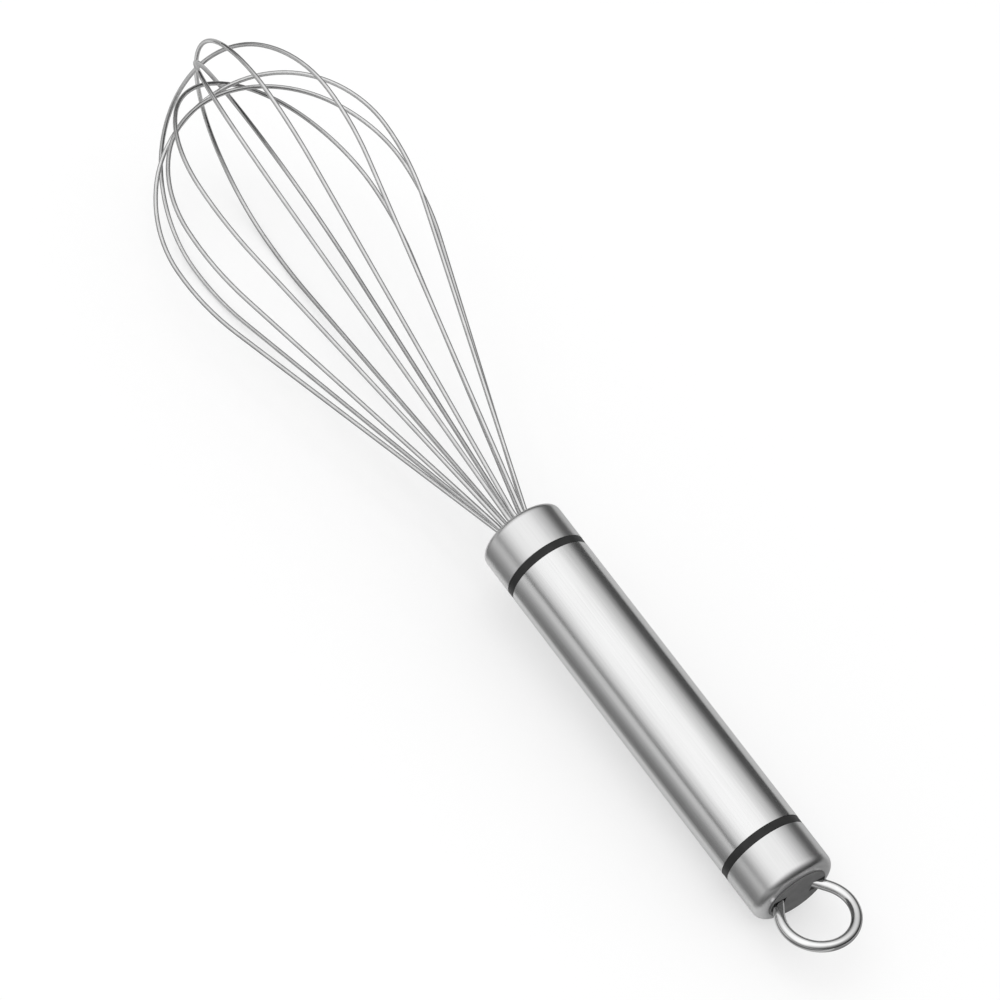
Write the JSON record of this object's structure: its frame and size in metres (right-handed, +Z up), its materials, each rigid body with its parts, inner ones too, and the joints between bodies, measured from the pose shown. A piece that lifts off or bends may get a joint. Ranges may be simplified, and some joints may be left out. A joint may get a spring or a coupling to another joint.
{
  "type": "balloon whisk",
  "caption": "Hand whisk with a balloon cage of sprung wire loops, a round steel handle with plastic end bands and a swivelling hanging ring in its tail.",
  "frame": {"origin": "centre of the bounding box's base, on the surface that the whisk lies on, with the whisk at rest on its rear cap and its wire cage", "axes": "+Z up from the resting surface, +X along the whisk from the hanging ring to the head (the handle's axis rises 4.4 degrees towards the head), +Y sideways"},
  "size_m": [0.302, 0.0682, 0.0669],
  "materials": {
    "handle_steel": "satin",
    "cap_steel": "satin",
    "wire_steel": "polished",
    "ring_steel": "polished",
    "band_plastic": "matte",
    "disc_plastic": "matte",
    "inner_plastic": "matte"
  },
  "bodies": {
    "whisk": {"handle_tube": "handle_steel", "rear_cap": "cap_steel", "rear_band": "band_plastic", "rear_insert": "inner_plastic", "end_disc": "disc_plastic", "front_band": "band_plastic", "front_insert": "inner_plastic", "front_cap": "cap_steel", "wire_holder": "inner_plastic", "wire_loop_1": "wire_steel", "wire_loop_2": "wire_steel", "wire_loop_3": "wire_steel", "wire_loop_4": "wire_steel", "wire_loop_5": "wire_steel", "wire_loop_6": "wire_steel"},
    "ring": {"hanging_ring": "ring_steel"}
  },
  "joints": [
    {"name": "ring_swing", "type": "hinge", "parent": "whisk", "child": "ring", "pos_m": [-0.13029, 0.00578, 0.01141], "axis": [0.0087, 0.9936, -0.1129], "range_deg": [-25, 5]}
  ]
}
